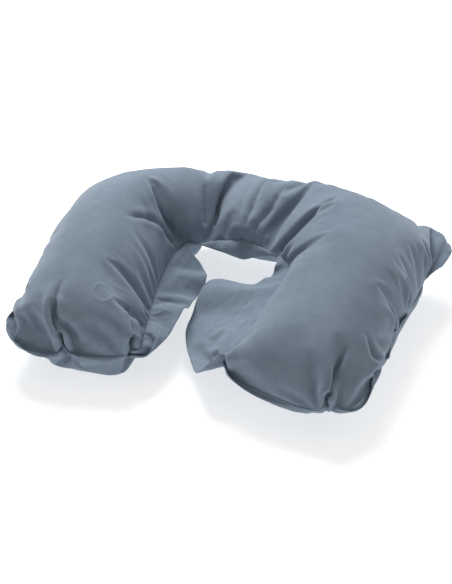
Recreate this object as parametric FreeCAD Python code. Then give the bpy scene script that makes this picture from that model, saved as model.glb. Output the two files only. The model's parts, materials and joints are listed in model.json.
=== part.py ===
import FreeCAD, Part
import math
import os

# Inflatable U-shaped neck pillow, blown up and lying on its underside.
# Two flat sheets of flocked film are welded along one line, which bounds a U-shaped air chamber.
# Outside the weld runs a narrow flange; inside the U the two sheets go on as a thin neck web with
# a hole in the middle and a slit to the front, so its two wings can bend up and down.
# An inflation valve sits in the underside of the left arm: a sunken stem on soft bellows, a
# plug cap on a strap, and a check flap over the inner end.
# Frame: +Z up, +X to the pillow's right, the arms point to -Y; origin on the ground, mid-width,
# mid-depth. Millimetres.

V = FreeCAD.Vector
os.makedirs("parts", exist_ok=True)

# ---- driving dimensions -------------------------------------------------------------------
FILM = 0.6              # one flocked sheet
WELD_Z = 36.0           # height of the weld line above the ground
FLANGE_W = 7.0          # flange outside the weld
FLANGE_T = 0.8          # two sheets fused together

HALF_DEPTH = 165.0      # weld line, front and back
HALF_FRONT = 166.0      # weld line, half width at the arm ends
HALF_BACK = 201.0       # weld line, half width at the back
BACK_R = 58.0           # rounding of the two back corners
ARM_R = 34.0            # rounding of the corners at the arm ends

NOTCH_R = 62.0          # round back of the neck notch
NOTCH_Y = 18.0          # its centre
NOTCH_LEAN = 10.5       # the notch narrows to the front by this angle each side

CROWN_ARM = 74.0        # upper sheet above the weld line, arms
CROWN_BACK = 60.0       # and behind the neck
SAG_ARM = 53.0          # lower sheet below the weld line before the ground flattens it
SAG_BACK = 45.0
END_RUN = 68.0          # length over which an arm rises from its end weld

WING_GAP = 0.3          # folding gap between flange and wing
SLIT = 2.4              # slit between the two wings
HOLE_BACK = 46.0        # rear edge of the neck hole

VALVE_X, VALVE_Y = -80.0, -112.0
RECESS_R = 9.25
STEM_R, STEM_BORE = 4.5, 3.0
STEM_LIP, STEM_TOP = 1.9, 16.0
CAP_R = 6.0
PIVOT_X = 7.0           # cap fold line, from the valve axis

ACROSS = 16             # points from the inner to the outer weld line in one section
CAP_STATIONS, ARM_STATIONS, BEND_STATIONS = 9, 6, 12

lean = math.radians(NOTCH_LEAN)


# ---- plan of the weld line ----------------------------------------------------------------
def side_x(y):
    """Half width of the outer weld line at depth y."""
    return HALF_FRONT + (HALF_BACK - HALF_FRONT) * (y + HALF_DEPTH) / (2 * HALF_DEPTH)


def notch_x(y):
    """Half width of the straight part of the notch at depth y."""
    return (NOTCH_R + (NOTCH_Y - y) * -math.sin(lean)) / math.cos(lean)


def corner_inset(run):
    """How far an arm end is drawn in at each side, this far from its end weld."""
    if run >= ARM_R:
        return 0.0
    return ARM_R - math.sqrt(ARM_R ** 2 - (ARM_R - run) ** 2)


BEND_Y = NOTCH_Y - NOTCH_R * math.sin(lean)     # where the notch side meets its round back


def back_corner():
    """Outer weld line from the level of BEND_Y round the back corner to mid-width, left side."""
    slope = (HALF_BACK - HALF_FRONT) / (2 * HALF_DEPTH)
    turn = math.pi / 2 + math.atan(slope)
    reach = BACK_R * math.tan(turn / 2)
    corner = V(-side_x(HALF_DEPTH), HALF_DEPTH, 0)
    down = V(slope, -1, 0).normalize()
    leave, join = corner + down * reach, corner + V(reach, 0, 0)
    centre = join - V(0, BACK_R, 0)
    middle = centre + (corner - centre).normalize() * BACK_R
    edges = [Part.LineSegment(V(-side_x(BEND_Y), BEND_Y, 0), leave).toShape(),
             Part.Arc(leave, middle, join).toShape(),
             Part.LineSegment(join, V(0, HALF_DEPTH, 0)).toShape()]
    return Part.Wire(edges)


def stations(inset):
    """Sections from the left arm end round to the right: inner point, outer point, rise, place.

    Rise is 0 at an end weld and 1 from END_RUN on; place is 0 in the arms and 1 at mid-back.
    """
    half = []
    ends = [math.pi / 2 * i / (CAP_STATIONS - 1) for i in range(CAP_STATIONS)]
    runs = [(inset + (END_RUN - inset) * (1 - math.cos(a)), math.sin(a)) for a in ends]
    arm = 2 * HALF_DEPTH - (HALF_DEPTH - BEND_Y) - END_RUN
    runs += [(END_RUN + arm * (i + 1) / ARM_STATIONS, 1.0) for i in range(ARM_STATIONS)]
    for run, rise in runs:
        y = run - HALF_DEPTH
        draw = corner_inset(run - inset) + inset
        half.append((V(-notch_x(y) - draw, y, 0), V(-side_x(y) + draw, y, 0), rise, 0.0))
    outer = back_corner().discretize(Number=BEND_STATIONS + 1)
    start, stop = math.pi + lean, math.pi / 2
    for i in range(1, BEND_STATIONS + 1):
        share = i / BEND_STATIONS
        angle = start + (stop - start) * share
        p = V(NOTCH_R * math.cos(angle), NOTCH_Y + NOTCH_R * math.sin(angle), 0)
        q = outer[i]
        step = (q - p).normalize() * inset
        half.append((p + step, q - step, 1.0, (1 - math.cos(math.pi * share)) / 2))
    other = [(V(-p.x, p.y, 0), V(-q.x, q.y, 0), rise, place) for p, q, rise, place in half[:-1]]
    return half + other[::-1]


def outline(offset):
    """Closed weld outline as points, moved outward by offset along its own normal."""
    line = stations(0.0)
    inner = [p for p, q, rise, place in line]
    outer = [q for p, q, rise, place in line]
    def between(a, b):
        return [a + (b - a) * (i / 4.0) for i in (1, 2, 3)]
    loop = inner + between(inner[-1], outer[-1]) + outer[::-1] + between(outer[0], inner[0])
    moved = []
    for i, point in enumerate(loop):
        along = (loop[(i + 1) % len(loop)] - loop[i - 1]).normalize()
        moved.append(point + V(along.y, -along.x, 0) * offset)
    return moved


def closed_curve(points, z):
    curve = Part.BSplineCurve()
    curve.buildFromPoles([V(p.x, p.y, z) for p in points], True, 3)
    return curve


def closed_face(points, z):
    return Part.Face(Part.Wire(closed_curve(points, z).toShape()))


def cylinder(radius, low, high, x=VALVE_X, y=VALVE_Y):
    return Part.makeCylinder(radius, high - low, V(x, y, low))


def cone(low_r, high_r, low, high):
    return Part.makeCone(low_r, high_r, high - low, V(VALVE_X, VALVE_Y, low))


def block(x0, x1, y0, y1, z0, z1):
    return Part.makeBox(x1 - x0, y1 - y0, z1 - z0, V(x0, y0, z0))


def save(name, shape):
    if len(shape.Solids) != 1 or not shape.isValid():
        raise ValueError(name + " is not one sound solid")
    shape.exportStep("parts/" + name + ".step")


# ---- the two sheets of the chamber --------------------------------------------------------
def clamped(count):
    """Multiplicities and knots of an even cubic spline with this many poles, ends held."""
    spans = count - 3
    return [4] + [1] * (spans - 1) + [4], [i / spans for i in range(spans + 1)]


def dome(inset, base_z, arm, back):
    """Solid under a blown-up sheet: arm and back are signed heights from base_z."""
    grid = []
    for p, q, rise, place in stations(inset):
        middle, half = (p + q) / 2, (q - p) / 2
        height = (arm + (back - arm) * place) * rise
        row = []
        for j in range(ACROSS + 1):
            a = math.pi * j / ACROSS
            flat = middle - half * math.cos(a)
            row.append(V(flat.x, flat.y, base_z + height * math.sin(a)))
        grid.append(row)
    surface = Part.BSplineSurface()
    (along_m, along_k), (across_m, across_k) = clamped(len(grid)), clamped(ACROSS + 1)
    surface.buildFromPolesMultsKnots(grid, along_m, across_m, along_k, across_k, False, False, 3, 3)
    skin = surface.toShape()
    base = Part.Face(Part.Wire(Part.__sortEdges__(skin.Edges)))
    shell = Part.makeShell([skin, base])
    shell.sewShape()
    solid = Part.makeSolid(shell)
    if solid.Volume < 0:
        solid.reverse()
    return solid


top_z = WELD_Z + FLANGE_T / 2
top_panel = dome(0.0, top_z, CROWN_ARM, CROWN_BACK).cut(
    dome(FILM, top_z, CROWN_ARM - FILM, CROWN_BACK - FILM))

low_z = WELD_Z - FLANGE_T / 2
ground = block(-300, 300, -300, 300, -100, 0)
inside_ground = block(-300, 300, -300, 300, -100, FILM)
outside = dome(0.0, low_z, -SAG_ARM, -SAG_BACK).cut(ground)
hollow = dome(FILM, low_z, -SAG_ARM + FILM, -SAG_BACK + FILM).cut(inside_ground)
bottom_panel = outside.cut(hollow).cut(cylinder(RECESS_R, -1, 2))

# ---- weld flange round the whole outline --------------------------------------------------
flange = closed_face(outline(FLANGE_W), low_z).cut(closed_face(outline(-FILM), low_z))
outer_rim = flange.extrude(V(0, 0, FLANGE_T)).Solids[0]

# ---- neck web -----------------------------------------------------------------------------
thick = V(0, 0, FLANGE_T)


def spline(points):
    curve = Part.BSplineCurve()
    curve.interpolate(Points=[V(x, y, low_z) for x, y in points])
    return curve.toShape()


def line(a, b):
    return Part.LineSegment(V(a[0], a[1], low_z), V(b[0], b[1], low_z)).toShape()


# Rear band: from the flange's own edge to the rear edge of the neck hole.
band_y = 12.0
flange_edge = closed_curve(outline(FLANGE_W), low_z)
left_end, right_end = [flange_edge.parameter(V(x, band_y, low_z)) for x in (-NOTCH_R, NOTCH_R)]
start, stop = [(p.x, p.y) for p in (flange_edge.value(left_end), flange_edge.value(right_end))]
hole_edge = spline([(stop[0] - 6, band_y), (stop[0] - 13, HOLE_BACK - 12), (0, HOLE_BACK),
                    (start[0] + 13, HOLE_BACK - 12), (start[0] + 6, band_y)])
neck_web_back = Part.Face(Part.Wire(Part.__sortEdges__([
    flange_edge.toShape(left_end, right_end), line(stop, (stop[0] - 6, band_y)), hole_edge,
    line((start[0] + 6, band_y), start)]))).extrude(thick)


def fold_x(y):
    """The straight fold line of a wing, just inside the flange."""
    return notch_x(y) - (FLANGE_W + WING_GAP) / math.cos(lean)


def wing(side):
    front, rear = -HALF_DEPTH + ARM_R + 4, BEND_Y - 6
    fold = [(fold_x(front), front), (fold_x(rear), rear)]
    free = [fold[0], (fold[0][0] - 9, front + 8), (SLIT / 2 + 4, front + 24), (SLIT / 2, front + 40)]
    slit = [free[-1], (SLIT / 2, -18)]
    brow = [slit[1], (SLIT / 2 + 8, -10), (28, 2), (fold[1][0] - 8, rear + 7), fold[1]]
    place = lambda points: [(side * x, y) for x, y in points]
    edges = [line(*place(fold)), spline(place(free)), line(*place(slit)), spline(place(brow))]
    return Part.Face(Part.Wire(Part.__sortEdges__(edges))).extrude(thick)


# ---- valve in the underside of the left arm -----------------------------------------------
collar_top = 3.0
foot = STEM_TOP - 0.6
valve_base = cylinder(14.5, FILM, 1.2).fuse(cylinder(10.05, 1.2, collar_top)).cut(
    cylinder(RECESS_R, 0, 4)).removeSplitter()
valve_bellows = cone(10.0, 5.9, collar_top, foot).cut(cone(9.5, 5.4, collar_top, foot))
valve_stem = cylinder(STEM_R, STEM_LIP, STEM_TOP).fuse(cylinder(6.2, foot, STEM_TOP)).cut(
    cylinder(STEM_BORE, 0, 20)).removeSplitter()

cap_low, cap_high = 0.3, 1.8
cap_tabs = block(VALVE_X - 8.4, VALVE_X + PIVOT_X - 0.15, VALVE_Y - 2, VALVE_Y + 2, cap_low, 1.1)
valve_cap = cylinder(CAP_R, cap_low, cap_high).fuse(cap_tabs).fuse(
    cone(STEM_BORE - 0.2, 1.0, cap_high, cap_high + 3.0)).removeSplitter()
strap_in = VALVE_X + PIVOT_X + 0.15
cap_strap = block(VALVE_X, strap_in + 1, VALVE_Y - 2, VALVE_Y + 2, 2.3, 3.1).fuse(
    block(strap_in, strap_in + 1, VALVE_Y - 2, VALVE_Y + 2, cap_low, 2.3)).cut(
    cylinder(STEM_R, 0, 5)).removeSplitter()
check_flap = cylinder(3.7, STEM_TOP + 0.05, STEM_TOP + 0.55)

save("top_panel", top_panel)
save("bottom_panel", bottom_panel)
save("outer_rim", outer_rim)
save("neck_web_back", neck_web_back)
save("neck_web_left", wing(-1))
save("neck_web_right", wing(1))
save("valve_base", valve_base)
save("valve_bellows", valve_bellows)
save("valve_stem", valve_stem)
save("valve_cap", valve_cap)
save("cap_strap", cap_strap)
save("check_flap", check_flap)
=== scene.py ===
import json
import math

import bmesh
import bpy
import numpy as np
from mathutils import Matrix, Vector
from mathutils.geometry import delaunay_2d_cdt

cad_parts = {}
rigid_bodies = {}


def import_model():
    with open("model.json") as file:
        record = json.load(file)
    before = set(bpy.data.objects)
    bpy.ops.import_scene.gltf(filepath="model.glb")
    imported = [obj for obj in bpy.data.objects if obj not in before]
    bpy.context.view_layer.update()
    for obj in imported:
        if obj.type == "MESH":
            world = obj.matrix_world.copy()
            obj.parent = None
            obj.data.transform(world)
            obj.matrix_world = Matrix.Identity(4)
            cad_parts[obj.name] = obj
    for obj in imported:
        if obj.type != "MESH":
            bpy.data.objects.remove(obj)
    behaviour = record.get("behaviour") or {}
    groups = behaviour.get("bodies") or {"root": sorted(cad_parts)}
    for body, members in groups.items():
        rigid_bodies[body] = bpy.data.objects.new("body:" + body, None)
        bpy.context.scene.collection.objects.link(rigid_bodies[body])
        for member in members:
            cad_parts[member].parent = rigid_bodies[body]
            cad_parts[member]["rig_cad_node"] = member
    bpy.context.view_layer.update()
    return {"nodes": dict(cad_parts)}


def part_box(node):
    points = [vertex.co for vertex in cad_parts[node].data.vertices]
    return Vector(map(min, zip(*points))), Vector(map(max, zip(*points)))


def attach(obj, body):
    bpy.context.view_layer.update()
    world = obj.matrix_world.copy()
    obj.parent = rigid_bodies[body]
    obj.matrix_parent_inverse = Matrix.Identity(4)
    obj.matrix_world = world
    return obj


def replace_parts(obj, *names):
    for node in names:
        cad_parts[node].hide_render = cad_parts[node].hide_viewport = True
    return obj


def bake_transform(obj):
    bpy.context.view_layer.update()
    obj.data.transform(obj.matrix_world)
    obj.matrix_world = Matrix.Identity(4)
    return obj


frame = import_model()

# the camera: solved from the photo's symmetric features
AZIMUTH, ELEVATION = math.radians(16.85), math.radians(30.76)
DISTANCE, LENS = 1.395, 56.44     # metres to the target, millimetres
TARGET = (-0.0121, 0.0484, 0.0)

# how the film behaves
TOP_LONG, LOW_LONG = 1.04, 0.97   # length of the top and bottom sheet against the flat pattern's
SLACK = 0.05                      # extra length in a fold
FOLD_PRESS, FOLD_WIDE = 2.5, 4.0  # how hard a fold pulls in against the air, and its least width
SHARE = 0.6                       # how much of the gathers stays in the film from the coarse to the finer meshes
SAG = 0.05                        # weight against air pressure
DAMPING = 0.96
ROUNDS = 3                        # passes over the edges in each step
RIB = 0.1                         # stiffness against bending
PLEAT, TUCK = 0.6, 0.6            # strength of the pleats at the arm ends and of the tucks along the sides
FREE_PUSH, FREE_STEPS = (0.3, 0.1), 200       # pushes in mm a step while the weld is still free
LEVELS = [(0.1, 120), (0.02, 80), (0.005, 50)]    # push and steps on the 12, 6 and 3 mm mesh
PLEAT_SHARE = (0, 0.6, 1)         # how much of the pleats' notches each of these meshes has

# ---------------------------------------------------------------- film simulation
# The pillow is blown up from two flat sheets of film welded together along one line. Millimetres.

PIVOT_Y = 172.0                   # the pillow's y that lies on the row's y = 0
SCALE = (1.005, 1.06, 0.975)      # width, depth and height, to the CAD's size
FLOOR = -48.0                     # the ground, below the weld at the back of the neck
HALF_W, DEPTH = 225.0, 336.0      # flat sheets: half width at the back, front to back
NOTCH_HALF, NOTCH_DEEP = 52.0, 205.0
SPREAD = 48.0                     # how far the flat arms spread outwards
FLANGE = 7.0                      # width of the welded rim
STEP = 12.0                       # the coarse mesh
TOP, BOTTOM, WELDED = 0, 1, 2     # the film's parts


def rounded(corners):
    """closed outline through corners (x, y, radius), sampled every STEP"""
    out, n = [], len(corners)
    for i, (x, y, r) in enumerate(corners):
        p = np.array([x, y], float)
        a, b = np.array(corners[i - 1][:2], float), np.array(corners[(i + 1) % n][:2], float)
        u, v = (a - p) / np.linalg.norm(a - p), (b - p) / np.linalg.norm(b - p)
        half = math.acos(np.clip(u @ v, -1, 1)) / 2
        c = p + (u + v) / np.linalg.norm(u + v) * r / math.sin(half)
        s, e = p + u * r / math.tan(half), p + v * r / math.tan(half)
        a0, a1 = math.atan2(*(s - c)[::-1]), math.atan2(*(e - c)[::-1])
        turn = (a1 - a0 + math.pi) % (2 * math.pi) - math.pi
        k = max(2, int(abs(turn) * r / STEP) + 1)
        out += [c + r * np.array([math.cos(a0 + turn * j / k), math.sin(a0 + turn * j / k)]) for j in range(k + 1)]
    q = np.array(out + out[:1])
    q = q[np.r_[True, np.linalg.norm(np.diff(q, axis=0), axis=1) > 1e-9]]
    s = np.r_[0, np.cumsum(np.linalg.norm(np.diff(q, axis=0), axis=1))]
    t = np.linspace(0, s[-1], round(s[-1] / STEP) + 1)[:-1]
    return np.stack([np.interp(t, s, q[:, 0]), np.interp(t, s, q[:, 1])], 1)


def inside(points, outline):
    """which points lie inside a closed outline"""
    x, y = points[:, 0], points[:, 1]
    hit = np.zeros(len(points), bool)
    for (ax, ay), (bx, by) in zip(np.roll(outline, 1, 0), outline):
        if ay != by:
            hit ^= ((ay > y) != (by > y)) & (x < (bx - ax) * (y - ay) / (by - ay) + ax)
    return hit


def distance(points, outline):
    """distances from points to a closed outline"""
    best = np.full(len(points), 1e9)
    for p, q in zip(outline, np.roll(outline, -1, 0)):
        d = q - p
        t = np.clip(((points - p) @ d) / (d @ d), 0, 1)
        best = np.minimum(best, np.linalg.norm(points - p - t[:, None] * d, axis=1))
    return best


def triangulate(weld, cut):
    """flat sheet inside cut with weld as a line of its vertices: points, triangles, which lie inside the weld"""
    clear_of_line = 0.62 * STEP
    lo, hi = cut.min(0) - STEP, cut.max(0) + STEP
    grid = []
    for i, y in enumerate(np.arange(lo[1], hi[1], STEP * math.sqrt(3) / 2)):
        x = np.arange(lo[0] + (i % 2) * STEP / 2, hi[0], STEP)
        grid.append(np.stack([x, np.full(len(x), y)], 1))
    grid = np.vstack(grid)
    grid = grid[inside(grid, cut)]
    grid = grid[(distance(grid, weld) > clear_of_line) & (distance(grid, cut) > clear_of_line)]
    n, m = len(weld), len(cut)
    edges = [(i, (i + 1) % n) for i in range(n)] + [(n + i, n + (i + 1) % m) for i in range(m)]
    points = [Vector(p) for p in np.vstack([weld, cut, grid])]
    r = delaunay_2d_cdt(points, edges, [], 0, 1e-6)
    v = np.array([tuple(p) for p in r[0]])
    f = np.array([list(t) for t in r[2] if len(t) == 3])
    f = f[inside(v[f].mean(1), cut)]
    a, b = v[f[:, 1]] - v[f[:, 0]], v[f[:, 2]] - v[f[:, 0]]
    back = a[:, 0] * b[:, 1] - a[:, 1] * b[:, 0] < 0
    f[back] = f[back][:, ::-1]
    return v, f, inside(v[f].mean(1), weld)


class Film:
    """film that keeps the lengths of its edges while air pushes on it"""

    def __init__(self, flat, faces, room, x, stretch):
        self.x, self.v, self.room = x.copy(), np.zeros_like(x), room
        e = np.sort(np.vstack([faces[:, [0, 1]], faces[:, [1, 2]], faces[:, [2, 0]]]), axis=1)
        o = np.hstack([faces[:, 2], faces[:, 0], faces[:, 1]])
        order = np.lexsort((e[:, 1], e[:, 0]))
        e, o = e[order], o[order]
        same = (e[1:] == e[:-1]).all(1)
        across = np.stack([o[:-1][same], o[1:][same]], 1)
        e = np.unique(e, axis=0)
        e = e[np.random.RandomState(1).permutation(len(e))]
        self.threads = self.sort(flat, e, stretch)
        self.ribs = self.sort(flat, across, stretch)
        f = flat[faces]
        a = np.linalg.norm(np.cross(f[:, 1] - f[:, 0], f[:, 2] - f[:, 0]), axis=1) / 6
        self.area = sum(np.bincount(faces[:, k], a, len(x)) for k in range(3))[:, None]
        self.gain, self.pin = 1.0, None

    @staticmethod
    def sort(flat, pairs, stretch):
        """groups of pairs that share no vertex, with their lengths"""
        length = np.linalg.norm(flat[pairs[:, 0]] - flat[pairs[:, 1]], axis=1)
        length *= (stretch[pairs[:, 0]] + stretch[pairs[:, 1]]) / 2
        pairs, length = pairs[length > 1e-6], length[length > 1e-6]
        used, group = [0] * len(flat), np.zeros(len(pairs), int)
        for k, (a, b) in enumerate(pairs.tolist()):
            free = ~(used[a] | used[b])
            c = (free & -free).bit_length() - 1
            group[k] = c
            used[a] |= 1 << c
            used[b] |= 1 << c
        return [(pairs[g, 0], pairs[g, 1], length[g][:, None]) for g in (group == c for c in range(group.max() + 1))]

    def settle(self, share):
        """takes the present lengths as the film's own, keeping share of what is now pressed together"""
        def kept(i, j, length):
            now = np.linalg.norm(self.x[j] - self.x[i], axis=1)[:, None]
            return np.where(now < length, now + share * (length - now), length)
        self.threads = [(i, j, kept(i, j, n)) for i, j, n in self.threads]
        self.ribs = [(i, j, kept(i, j, n)) for i, j, n in self.ribs]

    def step(self, push, sag, free):
        """one step with push mm of air pressure and sag mm of weight; free film ignores the ground and doesn't drift"""
        x, f = self.x, self.room
        u, w = x[f[:, 1]] - x[f[:, 0]], x[f[:, 2]] - x[f[:, 0]]
        n = np.cross(u, w) / 6
        out = np.stack([np.bincount(f.ravel(), np.repeat(n[:, k], 3), len(x)) for k in range(3)], 1)
        self.v += push * self.gain * out / self.area
        self.v[:, 2] -= sag
        start, x = x, x + self.v
        for _ in range(ROUNDS):
            for i, j, length in self.threads:
                d = x[j] - x[i]
                now = np.sqrt((d * d).sum(1))[:, None]
                d *= (now - length) / now * 0.5
                x[i] += d
                x[j] -= d
            for i, j, length in self.ribs:
                d = x[j] - x[i]
                now = np.sqrt((d * d).sum(1))[:, None]
                d *= np.minimum((now - length) / now, 0) * 0.5 * RIB
                x[i] += d
                x[j] -= d
            if self.pin is not None:
                x[self.pin[0]] = self.pin[1]
            if not free:
                np.maximum(x[:, 2], FLOOR, out=x[:, 2])
        self.x, self.v = x, (x - start) * DAMPING
        if free:
            self.v -= self.v.mean(0)
            r = self.x - self.x.mean(0)
            spin = np.linalg.solve(np.eye(3) * (r * r).sum() - r.T @ r, np.cross(r, self.v).sum(0))
            self.v -= np.cross(spin, r)


def side(y):
    """half width of the flat sheets"""
    return HALF_W + SPREAD * (1 - y / DEPTH)


# outlines on the flat sheets as corners (x, y, radius): the weld from the left arm's outer corner, the rim's outer edge
# from the right arm's
FRONT_R, BACK_R = 80, 40
OUTER = side(0) - 6
WELD = [(-OUTER, 0, FRONT_R), (-NOTCH_HALF - SPREAD, 0, 30), (-NOTCH_HALF, NOTCH_DEEP, NOTCH_HALF - 2),
        (NOTCH_HALF, NOTCH_DEEP, NOTCH_HALF - 2), (NOTCH_HALF + SPREAD, 0, 30), (OUTER, 0, FRONT_R),
        (side(DEPTH / 2), DEPTH / 2, 500), (HALF_W - 6, DEPTH - 14, BACK_R), (0, DEPTH + 6, 900),
        (6 - HALF_W, DEPTH - 14, BACK_R), (-side(DEPTH / 2), DEPTH / 2, 500)]
RIM = [(x + FLANGE * sx, y + FLANGE * sy, r + FLANGE * (r < 99)) for (x, y, r), sx, sy in
       zip(WELD[5:] + WELD[:1], (1, 1, 1, 0, -1, -1, -1), (-1, 0, 1, 1, 1, 0, -1))]
# free edges of the neck webs: left wing from the front, the opening behind, right wing to the front
WEBS = [(-88, -7, 16), (-52, 73, 90), (-24, 136, 5), (-27, 160, 12), (-47, 178, 6), (-47, 192, 6),
        (-19, 189, 12), (4, 184, 20), (27, 193, 12), (48, 190, 5), (38, 162, 14), (20, 140, 14),
        (-7, 136, 5), (-9, 124, 6), (-4, 96, 40), (6, 62, 40), (42, 22, 40), (64, -7, 20)]
CUT = RIM[-1:] + WEBS + RIM[:-1]
# where the weld lies once the pillow is blown up, on both sides: place on the flat sheet, then x, y and height, and
# whether that point is held, as the film slides along the weld line between held points
LIES = [(0, 205, 0, 240, 4, 1), (54, 182, 57, 210, 3, 0), (65, 151, 60, 178, 0, 0), (76, 101, 54, 128, -4, 1),
        (89, 49, 45, 80, -8, 0), (102, 12, 38, 43, -12, 1), (119, 1, 53, 37, -14, 0), (149, 0, 86, 28, -15, 0),
        (187, 0, 122, 18, -15, 0), (215, 5, 147, 19, -15, 0), (243, 23, 162, 32, -14, 0), (260, 55, 170, 54, -13, 0),
        (262, 90, 172, 84, -12, 0), (253, 131, 175, 120, -9, 0), (243, 200, 182, 178, -6, 1),
        (231, 260, 188, 238, -3, 0), (222, 300, 197, 278, 4, 0), (205, 320, 190, 305, 6, 0),
        (181, 325, 168, 313, 4, 0), (121, 331, 119, 314, 1, 0), (61, 336, 61, 322, 0, 0), (0, 338, 0, 328, 0, 1)]
WELD_SAMPLES = 2400
SMOOTH = 300                      # smoothing rounds of the weld line


def uneven(x, y):
    """the left arm lies a little further back than the right, and the left back corner is rounder: shift in x, y, z"""
    arm = np.clip((150 - y) / 100, 0, 1) * x / 100
    corner = np.clip((-x - 120) / 60, 0, 1) * np.clip((y - 220) / 60, 0, 1)
    return np.stack([5 * corner, -5 * arm - 4 * corner, -4 * corner], -1)


# creases round the neck: where each runs on the flat sheet from its fine end, strength of its fold, how far that pulls
# the weld in, over what length; depth and half width of its crease in the top sheet
NECK = [
    ([(-122, 228), (-99, 199), (-60, 188)], 1.0, 3, 6, 3.4, 2.2),
    ([(-132, 163), (-104, 176), (-69, 180)], 0.7, 0, 6, 2.6, 2.2),
    ([(-66, 252), (-48, 218)], 0.6, 1, 6, 2.4, 2.2),
    ([(-39, 298), (-41, 269), (-33, 226)], 0.9, 3, 6, 3.4, 2.2),
    ([(-8, 275), (-4, 224)], 0.4, 1, 6, 1.2, 2.4),
    ([(7, 280), (6, 241), (5, 222)], 0.6, 2, 6, 2.2, 2.2),
    ([(30, 277), (25, 243), (15, 220)], 0.6, 2, 6, 2.2, 2.2),
    ([(54, 267), (40, 243), (25, 216)], 0.5, 1, 6, 1.5, 2.2),
    ([(103, 249), (80, 222), (50, 196)], 1.0, 3, 6, 3.0, 2.2),
    ([(134, 163), (70, 176)], 0.3, 0, 6, 0.9, 2.4)]
# the other folds pressed into the film: pleats at the arm ends, tucks along the sides and the back
FOLDS = [crease[:4] for crease in NECK] + [
    ([(-183, 52), (-190, 26), (-190, 0)], PLEAT, 14, 6),
    ([(-114, 42), (-112, 3)], PLEAT, 14, 6),
    ([(104, 60), (112, 28), (105, 9)], PLEAT, 14, 6),
    ([(207, 62), (215, 30), (218, 6)], PLEAT, 14, 6),
    ([(193, 254), (232, 249)], TUCK, 8, 8),
    ([(211, 191), (241, 191)], TUCK, 8, 8),
    ([(213, 142), (250, 142)], TUCK, 8, 8),
    ([(214, 93), (232, 84), (261, 84)], TUCK, 8, 8),
    ([(-200, 240), (-232, 240)], TUCK, 6, 8),
    ([(-208, 195), (-240, 195)], TUCK, 6, 8),
    ([(-212, 148), (-248, 150)], TUCK, 6, 8),
    ([(-222, 92), (-258, 92)], TUCK, 6, 8),
    ([(-120, 304), (-124, 332)], TUCK, 8, 8),
    ([(-50, 306), (-48, 337)], TUCK, 8, 8),
    ([(30, 306), (30, 337)], TUCK, 8, 8),
    ([(110, 304), (116, 332)], TUCK, 8, 8)]
# the other sharp creases in the top sheet: at the arm ends and along the right side
CREASES = [(crease[0], *crease[4:]) for crease in NECK] + [
    ([(-180, 74), (-190, 26), (-190, 0)], 5.0, 2.0),
    ([(-116, 58), (-112, 3)], 5.0, 2.0),
    ([(104, 72), (112, 28), (105, 9)], 5.0, 2.0),
    ([(207, 70), (215, 30), (218, 6)], 5.0, 2.0),
    ([(193, 254), (232, 249)], 3.4, 2.2),
    ([(211, 191), (241, 191)], 3.4, 2.2),
    ([(213, 142), (250, 142)], 3.4, 2.2),
    ([(214, 93), (232, 84), (261, 84)], 4.0, 2.2)]

RING, RING_R = (-143, 60), 9.0    # the ring pressed through the top sheet over the valve
RING_HIGH, RING_DEEP = 0.55, 0.3


def near_path(points, path, width):
    """1 on a path of the flat sheet, falling off beside it, and rising from its inner end to the weld"""
    path = np.array(path, float)
    runs = np.linalg.norm(np.diff(path, axis=0), axis=1)
    out, run = np.zeros(len(points)), 0.0
    for a, b, length in zip(path[:-1], path[1:], runs):
        t = np.clip(((points - a) @ (b - a)) / length ** 2, 0, 1)
        off = np.linalg.norm(points - a - t[:, None] * (b - a), axis=1)
        along = (run + t * length) / runs.sum()
        fade = np.clip(0.35 + 0.9 * along, 0, 1) * np.clip(along * 6, 0, 1)
        out = np.maximum(out, np.exp(-(off / width) ** 2) * fade)
        run += length
    return out


def refine(flat, x, faces, part, run, perimeter):
    """every triangle in four; run is each weld vertex's place along the weld, -1 elsewhere"""
    e = np.sort(np.vstack([faces[:, [0, 1]], faces[:, [1, 2]], faces[:, [2, 0]]]), axis=1)
    u, inv = np.unique(e, axis=0, return_inverse=True)
    m = len(x) + inv.ravel().reshape(3, -1).T
    corners = [(faces[:, 0], m[:, 0], m[:, 2]), (m[:, 0], faces[:, 1], m[:, 1]), (m[:, 2], m[:, 1], faces[:, 2])]
    faces = np.vstack([np.stack(c, 1) for c in corners] + [m])
    a, b = run[u[:, 0]], run[u[:, 1]]
    gap = np.abs(a - b)
    gap = np.minimum(gap, perimeter - gap)
    on = (a >= 0) & (b >= 0) & (gap < 1.5 * perimeter / (run >= 0).sum())
    mid = np.where(np.abs(a - b) > perimeter / 2, ((a + b + perimeter) / 2) % perimeter, (a + b) / 2)
    flat, x = (np.vstack([p, (p[u[:, 0]] + p[u[:, 1]]) / 2]) for p in (flat, x))
    return flat, x, faces, np.tile(part, 4), np.r_[run, np.where(on, mid, -1)]


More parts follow.
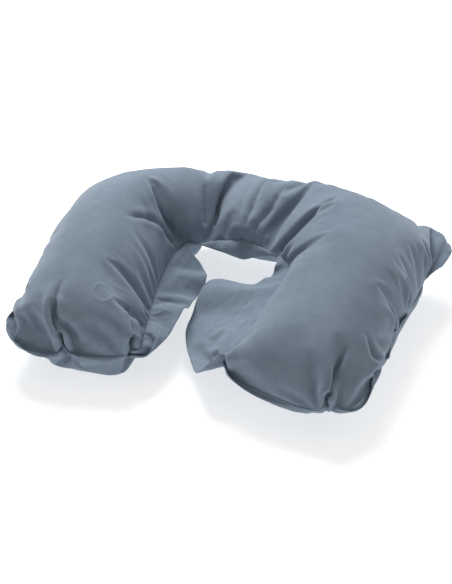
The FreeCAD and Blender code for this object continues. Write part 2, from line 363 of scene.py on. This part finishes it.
def weld_places(weld, run, perimeter, pleat):
    """where weld vertices lie on the blown-up pillow; pleat is the share of the pleats' full depth"""
    def at(p):
        return np.argmin(np.linalg.norm(weld - np.array(p, float), axis=1)) * perimeter / len(weld)

    knots = sorted([(at((sign * k[0], k[1])), sign * k[2], *k[3:]) for k in LIES for sign in (-1, 1)])
    s, q = np.array([k[0] for k in knots]), np.array([k[1:4] for k in knots])
    held = [k[0] for k in knots if k[4]]
    fine = np.linspace(0, perimeter, WELD_SAMPLES, endpoint=False)
    round_thrice = np.r_[s - perimeter, s, s + perimeter]
    base = np.stack([np.interp(fine, round_thrice, np.tile(q[:, k], 3)) for k in range(3)], 1)
    base += uneven(base[:, 0], base[:, 1])
    for _ in range(SMOOTH):
        base = (np.roll(base, 1, 0) + 2 * base + np.roll(base, -1, 0)) / 4
    out = np.roll(base, -1, 0) - np.roll(base, 1, 0)
    out = np.stack([out[:, 1], -out[:, 0], -0.5 * np.hypot(out[:, 0], out[:, 1])], 1)
    out /= np.linalg.norm(out[:, :2], axis=1)[:, None]
    place = fine
    for _ in range(8):            # each pleat takes up weld line, which moves the places of the others
        pull = np.zeros(len(fine))
        for path, _, depth, width in FOLDS:
            here = np.interp(at(path[-1]), place, fine)
            k = np.argmin(np.abs(fine - here))
            gap = np.linalg.norm(base - base[k], axis=1)
            pull = np.maximum(pull, pleat * depth * np.clip(1 - gap / width, 0, 1) ** 1.3)
        line = base - out * pull[:, None]
        length = np.r_[0, np.cumsum(np.linalg.norm(np.diff(line, axis=0), axis=1))]
        at_held = np.interp(held, fine, length)
        total = length[-1] + np.linalg.norm(line[0] - line[-1])
        place = np.interp(length, np.r_[at_held[-1] - total, at_held, at_held[0] + total],
                          np.r_[held[-1] - perimeter, held, held[0] + perimeter])
    lap = 40                      # samples repeated at both ends, as the line is closed
    where = np.r_[place[-lap:] - perimeter, place, place[:lap] + perimeter]
    return np.stack([np.interp(run, where, np.r_[p[-lap:], p, p[:lap]]) for p in line.T], 1)


def inflate(levels):
    """the blown-up film: flat place and place of each vertex, triangles, and the part each belongs to"""
    weld = rounded(WELD)
    v, f, room = triangulate(weld, rounded(CUT))
    perimeter = len(weld) * STEP
    inner, outer = np.zeros(len(v), bool), np.zeros(len(v), bool)
    inner[f[room]], outer[f[~room]] = True, True
    twin = inner & ~outer
    low = np.arange(len(v))
    low[twin] = len(v) + np.arange(twin.sum())
    flat = np.zeros((len(v) + twin.sum(), 3))
    flat[:, :2] = np.vstack([v, v[twin]])
    faces = np.vstack([f[room], low[f[room]][:, ::-1], f[~room]])
    part = np.repeat([TOP, BOTTOM, WELDED], [room.sum(), room.sum(), (~room).sum()])
    run = np.full(len(flat), -1.0)
    run[:len(weld)] = np.arange(len(weld)) * STEP
    x = flat.copy()               # the start: sheets a little apart and not quite even
    bulge = 6 * np.sqrt(1 - (1 - np.clip(distance(v[twin], weld), 0, 60) / 60) ** 2)
    x[:len(v), 2][twin], x[len(v):, 2] = bulge, -bulge
    x += np.random.RandomState(3).normal(0, 0.05, x.shape)
    for level, (push, steps) in enumerate(levels):
        if level:
            flat, x, faces, part, run = refine(flat, x, faces, part, run, perimeter)
        top, low, welded = (np.isin(np.arange(len(x)), faces[part == k]) for k in (TOP, BOTTOM, WELDED))
        stretch = np.where(top & ~welded, TOP_LONG, np.where(low & ~welded, LOW_LONG, 1.0))
        fold = np.zeros(len(x))
        if level:
            width = max(FOLD_WIDE, 0.8 * STEP / 2 ** level)
            for path, strength, _, _ in FOLDS:
                fold = np.maximum(fold, strength * near_path(flat[:, :2], path, width))
            fold[low & ~welded] *= 0.6
            stretch *= 1 + SLACK * np.minimum(fold, 1.2)
        film = Film(flat, faces, faces[part != WELDED], x, stretch)
        film.gain = (1 - FOLD_PRESS * fold)[:, None]
        if level:
            film.settle(SHARE)
        else:
            for free_push in FREE_PUSH:
                for _ in range(FREE_STEPS):
                    film.step(free_push, 0, True)
        on = np.nonzero(run >= 0)[0]
        start, goal = film.x[on].copy(), weld_places(weld, run[on], perimeter, PLEAT_SHARE[level])
        if not level:
            shift = (start - goal).mean(0)
            film.x -= shift
            start -= shift
        for i in range(steps):
            t = min(1.0, 2 * i / steps)
            film.pin = on, start + (goal - start) * t * t * (3 - 2 * t)
            film.step(push, SAG * push, False)
        x = film.x
    return flat, x, faces, part


# ---------------------------------------------------------------- pieces

FILM = 0.0004                     # thickness of the film
RECESS = 0.00925                  # radius of the valve's recess in the bottom sheet
SEAT, SEAT_EDGE = 0.017, 0.018    # the bottom sheet lies flat within SEAT of the valve's axis, and rises over SEAT_EDGE
TAPER = 0.72                      # how steeply the left arm's bottom rises from the valve to the rim
BAND_Y, BAND_END = 186, 206       # the welded band behind the neck opening: from and to on the flat sheet
SLIT_X = -16                      # the slit between the wings, on the flat sheet


def to_row(p):
    """simulation millimetres to metres in the row frame"""
    return (p - np.array([0, PIVOT_Y, FLOOR])) * np.array(SCALE) / 1000


def mesh_piece(name, points, faces, thick, offset, material, shape=None):
    """a closed piece of film from an open sheet: finer mesh, its shape's details, then its thickness"""
    used = np.unique(faces)
    index = np.full(len(points), -1)
    index[used] = np.arange(len(used))
    mesh = bpy.data.meshes.new(name)
    mesh.from_pydata(points[used].tolist(), [], index[faces].tolist())
    for p in mesh.polygons:
        p.use_smooth = True
    obj = bpy.data.objects.new(name, mesh)
    bpy.context.scene.collection.objects.link(obj)
    mesh.materials.append(material)
    on_sheet = mesh.attributes.new("on_sheet", "FLOAT_VECTOR", "POINT")
    on_sheet.data.foreach_set("vector", flat[used].astype(np.float32).ravel())
    finer = obj.modifiers.new("finer", "SUBSURF")
    finer.levels = finer.render_levels = 1
    apply_all(obj)
    if shape:
        shape(obj.data)
    obj.data.attributes.remove(obj.data.attributes["on_sheet"])
    skin = obj.modifiers.new("skin", "SOLIDIFY")
    skin.thickness, skin.offset = thick, offset
    apply_all(obj)
    return obj


def vectors(data, name):
    """an attribute of vertices as rows of three"""
    out = np.empty(len(data) * 3, np.float32)
    data.foreach_get(name, out)
    return out.reshape(-1, 3)


def places(mesh):
    """the vertices' places, and their places on the flat sheet"""
    on = vectors(mesh.attributes["on_sheet"].data, "vector")
    return vectors(mesh.vertices, "co").astype(float), on[:, :2].astype(float)


def press_creases(mesh):
    """pinches sharp creases into the top sheet, with a soft roll of film on both sides, and the valve's ring"""
    p, on = places(mesh)
    normal = vectors(mesh.vertex_normals, "vector")
    rise = np.zeros(len(p))
    clear_of_weld = np.clip(distance(on, rounded(WELD)) / 5, 0, 1)
    for path, deep, wide in CREASES:
        off, along = crease_at(on, path)
        fade = np.clip(along * 3, 0, 1) ** 0.7 * clear_of_weld
        roll = 0.35 * np.exp(-((off - 3.2 * wide) / (2.2 * wide)) ** 2)
        rise += fade * deep * (roll - np.exp(-(off / wide) ** 1.4))
    off = np.linalg.norm(on - np.array(RING), axis=1)
    rise += RING_HIGH * np.exp(-((off - RING_R) / 1.1) ** 2) - RING_DEEP * np.exp(-(off / (RING_R - 2)) ** 4)
    p += normal * (rise / 1000)[:, None]
    mesh.vertices.foreach_set("co", p.astype(np.float32).ravel())
    mesh.update()


def seat_valve(mesh):
    """lays the bottom sheet flat on the ground round the valve and opens the valve's recess in it"""
    centre = VALVE[:2]
    p, on = places(mesh)
    r = np.linalg.norm(p[:, :2] - centre, axis=1)
    t = np.clip((r - SEAT) / SEAT_EDGE, 0, 1)
    t = t * t * (3 - 2 * t)
    to_weld = distance(on, rounded(WELD))
    held = np.clip(1.4 - to_weld / 25, 0, 1)
    p[:, 2] *= t + (1 - t) * held
    ahead = (centre[1] - 0.015 - p[:, 1]) * TAPER * np.clip((-0.03 - p[:, 0]) / 0.02, 0, 1)
    p[:, 2] += np.clip(to_weld / 9, 0, 1) * np.maximum(ahead - p[:, 2], 0)
    p[:, 2] = np.maximum(p[:, 2], FILM)
    b = bmesh.new()
    b.from_mesh(mesh)
    for v, q in zip(b.verts, p):
        v.co = q
    bmesh.ops.delete(b, geom=[v for v, d in zip(b.verts, r) if d < RECESS + FILM], context="VERTS")
    for v in b.verts:
        out = Vector((v.co.x - centre[0], v.co.y - centre[1], 0))
        if v.is_boundary and out.length < RECESS * 1.5:
            v.co = Vector((*centre, v.co.z)) + out.normalized() * RECESS
    b.to_mesh(mesh)
    b.free()
    mesh.update()


def crease_at(points, path):
    """how far flat points are off a crease's line, and how far along it"""
    path = np.array(path, float)
    runs = np.linalg.norm(np.diff(path, axis=0), axis=1)
    best, along, run = np.full(len(points), 1e9), np.zeros(len(points)), 0.0
    for a, b, length in zip(path[:-1], path[1:], runs):
        t = np.clip(((points - a) @ (b - a)) / length ** 2, 0, 1)
        off = np.linalg.norm(points - a - t[:, None] * (b - a), axis=1)
        near = off < best
        best[near], along[near] = off[near], ((run + t * length) / runs.sum())[near]
        run += length
    return best, along


def apply_all(obj):
    """gives the object the mesh that its modifiers make"""
    done = bpy.data.meshes.new_from_object(obj.evaluated_get(bpy.context.evaluated_depsgraph_get()))
    old = obj.data
    obj.modifiers.clear()
    obj.data = done
    bpy.data.meshes.remove(old)
    done.name = obj.name


def node(tree, kind, **inputs):
    """a shader node with its inputs set"""
    n = tree.nodes.new(kind)
    for key, value in inputs.items():
        n.inputs[key.replace("_", " ")].default_value = value
    return n


def material(name):
    """a new material, its node tree and its main shader"""
    m = bpy.data.materials.new(name)
    m.use_nodes = True
    return m, m.node_tree, m.node_tree.nodes["Principled BSDF"]


def sum_with(tree, share, one, other):
    """share of one output added to another"""
    n = node(tree, "ShaderNodeMath")
    n.operation = "MULTIPLY_ADD"
    n.inputs[1].default_value = share
    tree.links.new(one, n.inputs[0])
    tree.links.new(other, n.inputs[2])
    return n.outputs[0]


def flocked(name, deep, pale):
    """flocked PVC: short velvet pile, softly mottled, paler at a grazing view"""
    m, t, b = material(name)
    link = t.links.new
    where = node(t, "ShaderNodeTexCoord")
    broad = node(t, "ShaderNodeTexNoise", Scale=14.0, Detail=4.0, Roughness=0.6)
    patch = node(t, "ShaderNodeTexNoise", Scale=75.0, Detail=5.0, Roughness=0.7)
    pile = node(t, "ShaderNodeTexNoise", Scale=1500.0, Detail=2.0, Roughness=0.7)
    fuzz = node(t, "ShaderNodeTexVoronoi", Scale=1900.0)
    for n in (broad, patch, pile, fuzz):
        link(where.outputs["Object"], n.inputs["Vector"])
    mottled = sum_with(t, 0.45, patch.outputs["Fac"], broad.outputs["Fac"])
    ramp = node(t, "ShaderNodeValToRGB")
    low_end, high_end = ramp.color_ramp.elements
    low_end.position, low_end.color, high_end.color = 0.62, (*deep, 1), (*pale, 1)
    link(sum_with(t, 0.25, pile.outputs["Fac"], mottled), ramp.inputs["Fac"])
    link(ramp.outputs["Color"], b.inputs["Base Color"])
    b.inputs["Roughness"].default_value = 0.92
    b.inputs["Specular IOR Level"].default_value = 0.18
    b.inputs["Sheen Weight"].default_value = 0.35
    b.inputs["Sheen Roughness"].default_value = 0.45
    b.inputs["Sheen Tint"].default_value = (0.75, 0.84, 0.95, 1)
    low = node(t, "ShaderNodeBump", Strength=0.35, Distance=0.0004)
    high = node(t, "ShaderNodeBump", Strength=0.5, Distance=0.00015)
    link(patch.outputs["Fac"], low.inputs["Height"])
    link(fuzz.outputs["Distance"], high.inputs["Height"])
    link(low.outputs["Normal"], high.inputs["Normal"])
    link(high.outputs["Normal"], b.inputs["Normal"])
    return m


def moulded(name, colour, rough, grain):
    """smooth or satin plastic with a faint mould grain"""
    m, t, b = material(name)
    where = node(t, "ShaderNodeTexCoord")
    noise = node(t, "ShaderNodeTexNoise", Scale=900.0, Detail=3.0)
    t.links.new(where.outputs["Object"], noise.inputs["Vector"])
    ramp = node(t, "ShaderNodeValToRGB")
    ramp.color_ramp.elements[0].color = (*[c * 0.88 for c in colour], 1)
    ramp.color_ramp.elements[1].color = (*[min(1, c * 1.1) for c in colour], 1)
    t.links.new(noise.outputs["Fac"], ramp.inputs["Fac"])
    t.links.new(ramp.outputs["Color"], b.inputs["Base Color"])
    b.inputs["Roughness"].default_value = rough
    bump = node(t, "ShaderNodeBump", Strength=grain, Distance=0.0001)
    t.links.new(noise.outputs["Fac"], bump.inputs["Height"])
    t.links.new(bump.outputs["Normal"], b.inputs["Normal"])
    return m


flat, place, faces, part = inflate(LEVELS)
points = to_row(place)
middle = flat[faces].mean(1)
notch_x = NOTCH_HALF + 1 + SPREAD * (1 - middle[:, 1] / NOTCH_DEEP)
web = (part == WELDED) & (middle[:, 1] < BAND_END) & (np.abs(middle[:, 0]) < notch_x)
behind = web & (middle[:, 1] > BAND_Y)
left = web & ~behind & (middle[:, 0] < SLIT_X)
right = web & ~behind & ~left
stem_low, stem_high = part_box("valve_stem")
VALVE = (stem_low + stem_high) / 2

cover = flocked("flocked_film", (0.150, 0.195, 0.250), (0.215, 0.270, 0.335))
for name, chosen, thick, offset, details, cad in (
        ("top_sheet", part == TOP, FILM, -1, press_creases, "top_panel"),
        ("bottom_sheet", part == BOTTOM, FILM, -1, seat_valve, "bottom_panel"),
        ("rim_seam", (part == WELDED) & ~web, 2 * FILM, 0, None, "outer_rim"),
        ("neck_band", behind, 2 * FILM, 0, None, "neck_web_back")):
    piece = mesh_piece(name, points, faces[chosen], thick, offset, cover, details)
    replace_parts(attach(piece, "bladder"), cad)
for name, chosen, sign in (("left", left, -1), ("right", right, 1)):
    wing = mesh_piece("neck_wing_" + name, points, faces[chosen], 2 * FILM, 0, cover)
    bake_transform(wing)
    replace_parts(wing, "neck_web_" + name)

soft = moulded("valve_film", (0.30, 0.37, 0.45), 0.45, 0.2)
hard = moulded("valve_plastic", (0.20, 0.25, 0.31), 0.38, 0.15)
for plastic, names in ((soft, ("valve_base", "valve_bellows", "check_flap")),
                       (hard, ("valve_stem", "valve_cap", "cap_strap"))):
    for name in names:
        slots = frame["nodes"][name].data.materials
        slots.clear()
        slots.append(plastic)

# ---------------------------------------------------------------- floor, light, camera

FLOOR_HALF, FLOOR_Z = 6, -0.0002
KEY_AT, KEY_SIZE, KEY_WATTS = (-0.7, 1.4, 1.6), 1.2, 57
WORLD_LIGHT = 0.37

ground = bpy.data.meshes.new("floor")
corners = [(x * FLOOR_HALF, y * FLOOR_HALF, FLOOR_Z) for x, y in ((-1, -1), (1, -1), (1, 1), (-1, 1))]
ground.from_pydata(corners, [], [(0, 1, 2, 3)])
floor = bpy.data.objects.new("floor", ground)
bpy.context.scene.collection.objects.link(floor)
paper, tree, shader = material("paper")
shader.inputs["Base Color"].default_value = (0.8, 0.8, 0.8, 1)
shader.inputs["Roughness"].default_value = 0.9
shader.inputs["Emission Color"].default_value = (1, 1, 1, 1)
shader.inputs["Emission Strength"].default_value = 0.6
# the floor is clear from below, so that the underside can be looked at
side_seen, clear, either = (node(tree, "ShaderNode" + k) for k in ("NewGeometry", "BsdfTransparent", "MixShader"))
for start, end in ((side_seen.outputs["Backfacing"], either.inputs[0]), (shader.outputs[0], either.inputs[1]),
                   (clear.outputs[0], either.inputs[2]), (either.outputs[0], tree.nodes["Material Output"].inputs[0])):
    tree.links.new(start, end)
ground.materials.append(paper)

world = bpy.data.worlds.new("studio")
bpy.context.scene.world = world
world.use_nodes = True
sky = world.node_tree.nodes["Background"]
sky.inputs[0].default_value = (1, 1, 1, 1)
sky.inputs[1].default_value = WORLD_LIGHT
bpy.context.scene.view_settings.view_transform = "Standard"

lamp = bpy.data.lights.new("key", "AREA")
lamp.size, lamp.energy = KEY_SIZE, KEY_WATTS
key = bpy.data.objects.new("key", lamp)
bpy.context.scene.collection.objects.link(key)
key.location = KEY_AT
key.rotation_mode = "QUATERNION"
key.rotation_quaternion = Vector(KEY_AT).to_track_quat("Z", "Y")

back = Vector((math.sin(AZIMUTH) * math.cos(ELEVATION), -math.cos(AZIMUTH) * math.cos(ELEVATION), math.sin(ELEVATION)))
eye = bpy.data.cameras.new("camera")
camera = bpy.data.objects.new("camera", eye)
bpy.context.scene.collection.objects.link(camera)
camera.location = Vector(TARGET) + back * DISTANCE
camera.rotation_mode = "QUATERNION"
camera.rotation_quaternion = (-back).to_track_quat("-Z", "Y")
eye.sensor_fit, eye.sensor_height, eye.lens = "VERTICAL", 24, LENS
bpy.context.scene.camera = camera
